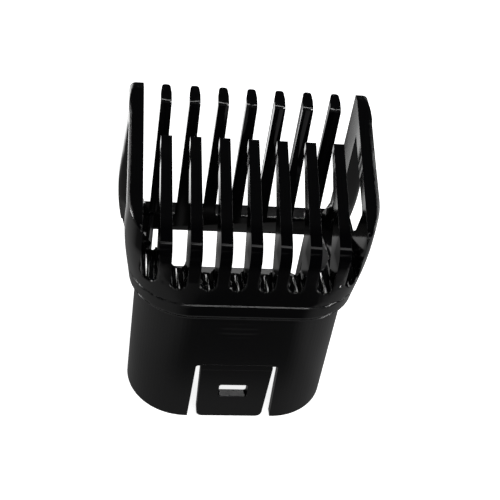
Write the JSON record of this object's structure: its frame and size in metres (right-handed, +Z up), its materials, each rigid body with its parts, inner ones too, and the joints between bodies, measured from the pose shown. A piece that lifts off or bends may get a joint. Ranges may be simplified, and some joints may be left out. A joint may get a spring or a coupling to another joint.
{
  "type": "hair clipper guide comb",
  "caption": "Clip-on guide comb for a hair clipper: an open sleeve with a springy catch tongue carries a crown of ribs and teeth between two side guards.",
  "frame": {"origin": "middle of the sleeve's open bottom rim", "axes": "+X to the comb's right, +Y to the back, where the tall teeth are, +Z up along the sleeve to the tips"},
  "size_m": [0.0518, 0.0368, 0.0624],
  "materials": {
    "satin_black": "moulded, fine satin",
    "gloss_black": "moulded, polished"
  },
  "bodies": {
    "comb": {"sleeve": "satin_black", "collar": "gloss_black", "front_bowl": "gloss_black", "left_cheek": "gloss_black", "right_cheek": "gloss_black", "rear_rail": "gloss_black", "rear_tooth_1": "gloss_black", "rear_tooth_2": "gloss_black", "rear_tooth_3": "gloss_black", "rear_tooth_4": "gloss_black", "rear_tooth_5": "gloss_black", "rear_tooth_6": "gloss_black", "rear_tooth_7": "gloss_black", "front_rib_1": "gloss_black", "front_rib_2": "gloss_black", "front_rib_3": "gloss_black", "front_rib_4": "gloss_black", "front_rib_5": "gloss_black", "front_rib_6": "gloss_black", "front_rib_7": "gloss_black"},
    "tongue": {"latch_tongue": "satin_black"}
  },
  "joints": [
    {"name": "latch_flex", "type": "hinge", "parent": "comb", "child": "tongue", "pos_m": [0, -0.01685, 0.0151], "axis": [1, 0, 0], "range_deg": [-5, 3], "stiffness_Nm_per_rad": 1.5}
  ]
}
